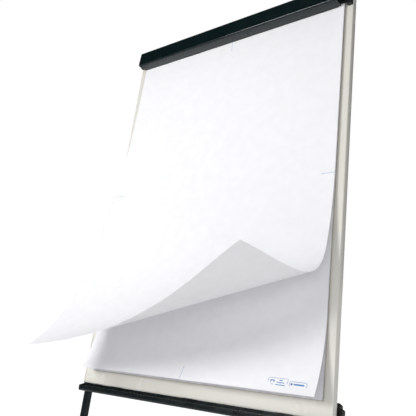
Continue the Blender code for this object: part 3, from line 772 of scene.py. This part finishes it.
def make_rear_bracket(mat):
    """Folded U bracket on the upper rail, its ears rounded about the pin."""
    pin = BOARD.inverted() @ REAR.translation
    base_y = BOARD_T + 0.0163
    x_in, x_out = REAR_W / 2 + 0.0012, REAR_W / 2 + 0.0037
    low, high = pin.z - 0.022, pin.z + 0.018
    wide = x_out + 0.022
    bracket = block("hinge_bracket", (-wide, base_y, low), (wide, base_y + 0.0025, high))
    pick(bracket, "EDGE", edges_along((0, 1, 0)))
    bevel_edges(0.005, 6)
    object_mode()
    for _, sign in sides():
        ears = sorted((sign * x_in, sign * x_out))
        ear = block("ear", (ears[0], base_y + 0.001, low + 0.004), (ears[1], pin.y + 0.0138, high - 0.004))
        pick(ear, "EDGE", lambda edge: edges_along((1, 0, 0))(edge) and edge.verts[0].co.y > pin.y)
        bevel_edges(0.009, 8)
        object_mode()
        apply_modifier(bracket, "BOOLEAN", operation="UNION", object=ear, solver="EXACT")
        bpy.data.objects.remove(ear)
    soften(bracket, 0.0005, 2, 40)
    settle(bracket, BOARD, mat, "board", "black_steel", "rear_bracket")
    screws = ((-1, low + 0.009), (1, low + 0.009), (-1, high - 0.009), (1, high - 0.009))
    for index, (sx, z) in enumerate(screws):
        screw_head("hinge_screw_%d" % (index + 1), (0, 1, 0), (sx * (x_out + 0.012), base_y + 0.0028, z),
                   0.0044, BOARD, "board", "bracket_screw_%d" % (index + 1))
    deselect()
    bpy.ops.mesh.primitive_cylinder_add(vertices=40, radius=0.0040, depth=2 * x_out + 0.008)
    rod = bpy.context.object
    rod.name = "hinge_rod"
    soften(rod, 0.0008, 4, 40)
    turn = Vector((0, 0, 1)).rotation_difference(Vector((1, 0, 0))).to_matrix().to_4x4()
    rod.data.transform(Matrix.Translation(pin) @ turn)
    settle(rod, BOARD, MAT["screw"], "board", "steel", "rear_pin")


# ---------------------------------------------------------------- pages

def bend_at(degree):
    for (low, low_bend), (high, high_bend) in zip(PAGE_BEND, PAGE_BEND[1:]):
        if degree <= high:
            return low_bend + (high_bend - low_bend) * (degree - low) / (high - low)
    return PAGE_BEND[-1][1]


def page_rulings(per_degree=4):
    """Directions of the straight lines on the lifted page's cone, round its tip."""
    along, across = Vector((0, 0, 1)), Vector((-1, 0, 0))
    rulings = [along.copy()]
    for step in range(180 * per_degree):
        bend = bend_at((step + 0.5) / per_degree)
        axis = bend * along + along.cross(across)
        turn = Matrix.Rotation(axis.length * math.radians(1 / per_degree), 3, axis.normalized())
        along, across = (turn @ along).normalized(), (turn @ across).normalized()
        rulings.append(along.copy())
    return rulings


def lifted(rulings, across, down):
    """Point of the front page, at a place on the flat sheet measured from its upper left corner."""
    left, below = CONE_TIP.x - across, down - CONE_TIP.y
    turn = math.degrees(math.atan2(left, -below)) * (len(rulings) - 1) / 180
    index = min(int(turn), len(rulings) - 2)
    ruling = rulings[index].lerp(rulings[index + 1], turn - index).normalized()
    tip = Vector((PAD_X + CONE_TIP.x - PAD_W / 2, FRONT_Y, PAD_BOTTOM + PAD_H - CONE_TIP.y))
    pull = (max(down - PULL_START, 0.0) / (PAD_H - PULL_START)) ** 2
    rightward = across / PAD_W
    corners = LEFT_CORNER_PULL * (1 - rightward) ** 1.5 + RIGHT_CORNER_PULL * rightward ** 1.5
    return tip + ruling * math.hypot(left, below) + corners * pull


def curled(across, down):
    """Point of the second page, which curls forward towards its lower edge."""
    run = max(down - CURL_START, 0.0)
    rate = CURL_BEND / (PAD_H - CURL_START)
    slope = rate * run
    forward = (1 - math.cos(slope)) / rate
    drop = math.sin(slope) / rate
    height = PAD_BOTTOM + PAD_H - min(down, CURL_START) - drop
    return Vector((PAD_X + across - PAD_W / 2, SECOND_Y - forward, height))


TICK_W = 0.0011
TICK_L = 0.034
TOP_TICK_START = 0.031


def grid_lines(length, count):
    """Even lines across a page, with one narrow pair at the middle for the printed ticks."""
    lines = [length * i / count for i in range(count + 1) if abs(i / count - 0.5) > 0.4 / count]
    lines += [length / 2 - TICK_W / 2, length / 2 + TICK_W / 2, TICK_L, length - TICK_L]
    return sorted(lines)


def make_page(name, place, top, columns, rows, mat, tick_mat):
    """A sheet of paper drawn flat with its printed ticks, laid out by a rule, then given its thickness."""
    across = grid_lines(PAD_W, columns)
    down = [d for d in grid_lines(PAD_H, rows) if d > top + 0.001]
    down = [top] + down
    deselect()
    bpy.ops.mesh.primitive_grid_add(x_subdivisions=len(across) - 1, y_subdivisions=len(down) - 1, size=1)
    page = bpy.context.object
    page.name = name
    mesh = page.data
    order = sorted(mesh.vertices, key=lambda v: (round(v.co.y, 5), round(v.co.x, 5)))
    flat = {}
    for index, vertex in enumerate(order):
        row, column = divmod(index, len(across))
        flat[vertex.index] = (across[column], down[-1 - row])
    mesh.materials.append(mat)
    mesh.materials.append(tick_mat)
    for face in mesh.polygons:
        s = sum(flat[v][0] for v in face.vertices) / len(face.vertices)
        t = sum(flat[v][1] for v in face.vertices) / len(face.vertices)
        middle_s = abs(s - PAD_W / 2) < TICK_W / 2
        middle_t = abs(t - PAD_H / 2) < TICK_W / 2
        edge_s = min(s, PAD_W - s) < TICK_L
        edge_t = PAD_H - t < TICK_L or TOP_TICK_START < t < TOP_TICK_START + TICK_L
        face.material_index = int((middle_s and edge_t) or (middle_t and edge_s))
    for index, (s, t) in flat.items():
        mesh.vertices[index].co = place(s, t)
    mesh.update()
    if sum(face.normal.y * face.area for face in mesh.polygons) > 0:
        mesh.flip_normals()
    apply_modifier(page, "SOLIDIFY", thickness=PAPER, offset=0.0)
    punch(page)
    activate(page)
    bpy.ops.object.shade_smooth_by_angle(angle=math.radians(60))
    mesh.transform(BOARD)
    mesh.update()
    return page


def punch(piece):
    """Cut the two oblong holes that the hooks' pegs pass through."""
    for _, sign in sides():
        half_w, half_h = HOOK_SLOT[0] / 2, HOOK_SLOT[1] / 2
        low = (sign * HOOK_X - half_w, -0.012, 1.0 - half_h)
        high = (sign * HOOK_X + half_w, 0.0, 1.0 + half_h)
        cutter = block("cutter", low, high)
        pick(cutter, "EDGE", edges_along((0, 1, 0)))
        bevel_edges(half_h * 0.96, 6)
        apply_modifier(piece, "BOOLEAN", operation="DIFFERENCE", object=cutter, solver="EXACT")
        bpy.data.objects.remove(cutter)


def make_pages():
    rulings = page_rulings()
    front = make_page("front_sheet", lambda s, t: lifted(rulings, s, t), 0.010, 110, 150,
                      MAT["paper"], MAT["tick"])
    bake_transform(front)
    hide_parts("front_page")
    under = make_page("under_sheet", curled, 0.010, 24, 150, MAT["paper"], MAT["tick"])
    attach(under, "board")
    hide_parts("second_page")
    make_marks(under)


def make_pad(mat):
    """The rest of the pad: cut sheets whose edges are a hair out of line."""
    half, layers = PAD_W / 2, 14
    depth = (0.0070 - 0.0035) / layers
    stack = []
    for i in range(layers):
        shift = 0.0003 * math.sin(2.3 * i)
        back = -0.0035 - depth * i
        leaf = block("leaf", (PAD_X - half + abs(shift), back - depth * 0.9, PAD_BOTTOM + 0.0012 + shift),
                     (PAD_X + half - 0.0004 + shift, back, PAD_BOTTOM + PAD_H - 0.001))
        stack.append(leaf)
    deselect()
    for leaf in stack:
        leaf.select_set(True)
    bpy.context.view_layer.objects.active = stack[0]
    bpy.ops.object.join()
    pad = bpy.context.object
    pad.name = "pad_leaves"
    punch(pad)
    settle(pad, BOARD, mat, "board", "paper", "paper_block")


def printed(name, under, across, down, size, corner, line=0.0):
    """Thin patch of ink on the second page, filled or as an outline, laid on it where it curls."""
    place = curled(across, down)
    deselect()
    bpy.ops.mesh.primitive_plane_add(size=1, location=place + Vector((0, -0.002, 0)),
                                     rotation=(math.radians(90), 0, 0))
    mark = bpy.context.object
    mark.name = name
    mark.scale = (size[0], size[1], 1)
    bpy.ops.object.transform_apply(location=True, rotation=True, scale=True)
    pick(mark, "VERT", lambda v: True)
    bpy.ops.mesh.bevel(offset=corner, segments=6, affect="VERTICES")
    if line:
        bpy.ops.mesh.select_all(action="SELECT")
        bpy.ops.mesh.inset(thickness=line, depth=0)
        bpy.ops.mesh.delete(type="FACE")
    object_mode()
    mark.data.transform(BOARD)
    activate(mark)
    wrap = mark.modifiers.new("lay", "SHRINKWRAP")
    wrap.target = under
    wrap.wrap_method = "NEAREST_SURFACEPOINT"
    wrap.wrap_mode = "ABOVE_SURFACE"
    wrap.offset = 0.0003
    bpy.ops.object.modifier_apply(modifier=wrap.name)
    apply_modifier(mark, "SOLIDIFY", thickness=0.00006, offset=0.0)
    return settle(mark, None, MAT["blue_ink"], "board", "paper")


def make_marks(under):
    """Plain printed shapes near the second page's lower right corner."""
    base = PAD_H - 0.021
    box_x, pill_x = PAD_W - 0.087, PAD_W - 0.040
    printed("print_box", under, box_x, base, (0.046, 0.022), 0.002, 0.0007)
    printed("print_square", under, box_x - 0.0125, base, (0.0095, 0.0125), 0.001, 0.0022)
    for index, (drop, length) in enumerate(((-0.0055, 0.008), (-0.0005, 0.018), (0.0045, 0.022))):
        printed("print_bar_%d" % (index + 1), under, box_x + 0.007, base + drop, (length, 0.0019), 0.0008)
    printed("print_pill", under, pill_x, base, (0.040, 0.0130), 0.0062, 0.0008)
    printed("print_pill_bar", under, pill_x + 0.002, base, (0.024, 0.0034), 0.0016)
    printed("print_pill_dot", under, pill_x - 0.0145, base, (0.0050, 0.0050), 0.0024)


# ---------------------------------------------------------------- finishes on the frame's own nodes

def paint_nodes():
    """Give every node that still shows its finish."""
    by_slot = {
        "core": "board_grey", "black_steel": "steel_black", "zinc": "zinc", "black_plastic": "plastic",
        "rail_paint": "rail", "rail_plastic": "rail_end", "steel": "screw", "rubber": "rubber",
        "paper": "paper", "card": "card", "black_paint": "tube", "enamel": "enamel",
    }
    slots = {row["node"]: row["material_slot"] for row in frame["record"]["subparts"]}
    for name, node in frame["nodes"].items():
        node.data.materials.clear()
        node.data.materials.append(MAT[by_slot[slots[name]]])


# ---------------------------------------------------------------- stage

# Studio: lamp powers in watts, the rest as strengths
LAMP_SIZE = (0.6, 0.6)
KEY_POWER = 22
FILL_POWER = 3.0
OVERHEAD_STRENGTH = 0.4
OVERHEAD_SPREAD = 1.0
ROOM_LOW = 0.95
ROOM_HIGH = 0.12
REFLECTED_ROOM = 0.12
FLOOR_GLOW = 0.3
SEEN_FLOOR_GLOW = 0.8
CAMERA_PLACE = Vector((0.8272, -1.0161, 0.2559))
CAMERA_TILT = 98.505
CAMERA_TURN = 36.977
CAMERA_LENS = 46.32


def make_floor():
    """Seamless white sweep that glows a little, and glows more where the camera sees it."""
    deselect()
    bpy.ops.mesh.primitive_plane_add(size=60, location=(0, 0, -0.0005))
    ground = bpy.context.object
    ground.name = "floor"
    mat = plain("pale_floor", (0.86, 0.86, 0.86), 0.9, specular=0.1)
    tree = mat.node_tree
    mottle(mat, noise(tree, coordinates(tree), 2.0), (0.85, 0.85, 0.85), (0.87, 0.87, 0.87))
    shader_of(mat).inputs["Emission Color"].default_value = (1, 1, 1, 1)
    path = tree.nodes.new("ShaderNodeLightPath")
    glow = tree.nodes.new("ShaderNodeMapRange")
    glow.inputs["To Min"].default_value = FLOOR_GLOW
    glow.inputs["To Max"].default_value = SEEN_FLOOR_GLOW
    tree.links.new(path.outputs["Is Camera Ray"], glow.inputs["Value"])
    tree.links.new(glow.outputs["Result"], shader_of(mat).inputs["Emission Strength"])
    ground.data.materials.append(mat)


def area_light(name, place, target, power):
    light = bpy.data.lights.new(name, "AREA")
    light.shape = "RECTANGLE"
    light.size, light.size_y = LAMP_SIZE
    light.energy = power
    lamp = bpy.data.objects.new(name, light)
    bpy.context.scene.collection.objects.link(lamp)
    lamp.location = place
    lamp.rotation_euler = (Vector(target) - Vector(place)).to_track_quat("-Z", "Y").to_euler()
    return lamp




def make_world():
    """White backdrop for the camera; the room that lights the easel dims upwards and in reflections."""
    world = bpy.data.worlds.new("studio")
    world.use_nodes = True
    bpy.context.scene.world = world
    tree = world.node_tree
    backdrop = tree.nodes["Background"]
    backdrop.inputs["Color"].default_value = (1, 1, 1, 1)
    backdrop.inputs["Strength"].default_value = 1.0
    room = tree.nodes.new("ShaderNodeBackground")
    direction = tree.nodes.new("ShaderNodeTexCoord")
    split = tree.nodes.new("ShaderNodeSeparateXYZ")
    tree.links.new(direction.outputs["Generated"], split.inputs["Vector"])
    fade = tree.nodes.new("ShaderNodeMapRange")
    fade.interpolation_type = "SMOOTHSTEP"
    for socket, value in (("From Min", -0.05), ("From Max", 0.45),
                          ("To Min", ROOM_LOW), ("To Max", ROOM_HIGH)):
        fade.inputs[socket].default_value = value
    tree.links.new(split.outputs["Z"], fade.inputs["Value"])
    path = tree.nodes.new("ShaderNodeLightPath")
    dimmer = tree.nodes.new("ShaderNodeMapRange")
    dimmer.inputs["To Min"].default_value = 1.0
    dimmer.inputs["To Max"].default_value = REFLECTED_ROOM
    tree.links.new(path.outputs["Is Glossy Ray"], dimmer.inputs["Value"])
    strength = tree.nodes.new("ShaderNodeMath")
    strength.operation = "MULTIPLY"
    tree.links.new(fade.outputs["Result"], strength.inputs[0])
    tree.links.new(dimmer.outputs["Result"], strength.inputs[1])
    tree.links.new(strength.outputs["Value"], room.inputs["Strength"])
    room.inputs["Color"].default_value = (0.97, 0.98, 1.0, 1)
    choose = tree.nodes.new("ShaderNodeMixShader")
    tree.links.new(path.outputs["Is Camera Ray"], choose.inputs["Fac"])
    tree.links.new(room.outputs["Background"], choose.inputs[1])
    tree.links.new(backdrop.outputs["Background"], choose.inputs[2])
    tree.links.new(choose.outputs["Shader"], tree.nodes["World Output"].inputs["Surface"])


def make_light():
    make_world()
    area_light("key", (-0.62, -1.82, 1.72), (0.05, -0.15, 1.35), KEY_POWER)
    area_light("fill", (0.9, -1.4, 1.2), (0.05, -0.15, 1.05), FILL_POWER)
    overhead = bpy.data.lights.new("overhead", "SUN")
    overhead.energy = OVERHEAD_STRENGTH
    overhead.angle = OVERHEAD_SPREAD
    lamp = bpy.data.objects.new("overhead", overhead)
    bpy.context.scene.collection.objects.link(lamp)


def make_camera():
    data = bpy.data.cameras.new("camera")
    data.sensor_width = 36.0
    data.lens = CAMERA_LENS
    camera = bpy.data.objects.new("camera", data)
    bpy.context.scene.collection.objects.link(camera)
    camera.location = BOARD.translation + CAMERA_PLACE
    camera.rotation_euler = (math.radians(CAMERA_TILT), 0, math.radians(CAMERA_TURN))
    bpy.context.scene.camera = camera


MAT = {
    "enamel": enamel(),
    "rail": powder_coat("rail_coat", (0.002, 0.007, 0.008), (0.004, 0.011, 0.012), 0.22, 0.12),
    "rail_end": moulded("rail_plastic", (0.003, 0.007, 0.008), (0.006, 0.011, 0.013), 0.4),
    "tube": powder_coat("tube_coat", (0.003, 0.006, 0.007), (0.006, 0.010, 0.011), 0.26, 0.12),
    "steel_black": powder_coat("bracket_coat", (0.014, 0.014, 0.015), (0.024, 0.024, 0.025), 0.42, 0.3),
    "plastic": moulded("black_plastic", (0.012, 0.012, 0.013), (0.022, 0.022, 0.023), 0.5),
    "rubber": rubber(),
    "zinc": metal("zinc_plate", (0.42, 0.43, 0.46), (0.62, 0.63, 0.66), 0.28, 0.45, (1, 1, 0.05)),
    "screw": metal("bright_steel", (0.50, 0.50, 0.51), (0.68, 0.68, 0.69), 0.22, 0.36, (1, 0.2, 1)),
    "paper": paper("bond_paper", (0.875, 0.875, 0.895), (0.905, 0.905, 0.925)),
    # edges: paper with painted shade, darker than the sheets, for the pad's stacked leaves
    "edges": page_edges_painted_shade(),
    "card": brown_card(),
    "board_grey": fibre_board(),
    "tick": ink("pale_blue_ink", (0.36, 0.47, 0.74)),
    "blue_ink": ink("blue_ink", (0.10, 0.24, 0.55)),
}

paint_nodes()
make_board(MAT["enamel"])
make_cross_rails(MAT["steel_black"], MAT["plastic"])
make_rail(MAT["rail"], MAT["rail_end"])
make_tray(MAT["tube"], MAT["plastic"])
make_front_legs(MAT["tube"])
make_rear_leg(MAT["tube"])
make_rear_bracket(MAT["steel_black"])
make_pad(MAT["edges"])
make_pages()
make_floor()
make_light()
make_camera()
bpy.context.scene.view_settings.view_transform = "Standard"

deselect()
